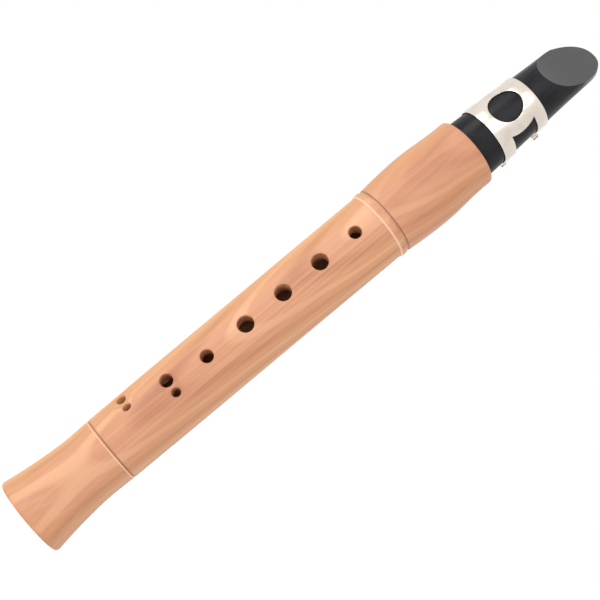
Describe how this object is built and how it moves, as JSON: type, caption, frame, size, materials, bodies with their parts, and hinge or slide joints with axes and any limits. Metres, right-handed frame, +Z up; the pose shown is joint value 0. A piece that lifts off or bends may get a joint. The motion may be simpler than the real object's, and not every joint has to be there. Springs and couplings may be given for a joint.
{
  "type": "pocket saxophone",
  "caption": "Keyless pocket saxophone: a straight turned wooden tube with finger holes, a flared foot and a clarinet-style mouthpiece with reed and screw ligature.",
  "frame": {"origin": "centre of the foot's flat end face", "axes": "+Z up the bore towards the mouthpiece, -Y the side of the finger holes and the beak, +X the player's left as seen from the front"},
  "size_m": [0.0362, 0.039, 0.32],
  "materials": {
    "pear_wood": "oiled satin",
    "cork": "matt cork",
    "ebonite": "soft sheen",
    "cane": "cut cane",
    "nickel": "polished nickel plate"
  },
  "bodies": {
    "body": {"body_tube": "pear_wood"},
    "cork": {"tenon_cork": "cork"},
    "mouthpiece": {"mouthpiece": "ebonite"},
    "ligature": {"ligature_band": "nickel", "upper_plain_post": "nickel", "lower_plain_post": "nickel", "upper_threaded_post": "nickel", "lower_threaded_post": "nickel"},
    "reed": {"reed": "cane"},
    "upper_screw": {"upper_ligature_screw": "nickel"},
    "lower_screw": {"lower_ligature_screw": "nickel"}
  },
  "joints": [
    {"name": "mouthpiece_pull", "type": "slide", "parent": "body", "child": "cork", "axis": [0, 0, 1], "range_m": [0, 0.022]},
    {"name": "mouthpiece_turn", "type": "hinge", "parent": "cork", "child": "mouthpiece", "pos_m": [0, 0, 0.2442], "axis": [0, 0, 1], "continuous": true},
    {"name": "ligature_slide", "type": "slide", "parent": "mouthpiece", "child": "ligature", "axis": [0, 0, 1], "range_m": [0, 0.07]},
    {"name": "reed_slide", "type": "slide", "parent": "mouthpiece", "child": "reed", "axis": [-0.0027, -0.0339, 0.9994], "range_m": [0, 0.072]},
    {"name": "upper_screw_turn", "type": "hinge", "parent": "ligature", "child": "upper_screw", "pos_m": [0.00128, 0.01625, 0.2764], "axis": [0.9969, -0.0785, 0], "range_deg": [0, 1080]},
    {"name": "lower_screw_turn", "type": "hinge", "parent": "ligature", "child": "lower_screw", "pos_m": [0.00128, 0.01625, 0.2569], "axis": [0.9969, -0.0785, 0], "range_deg": [0, 1080]}
  ]
}
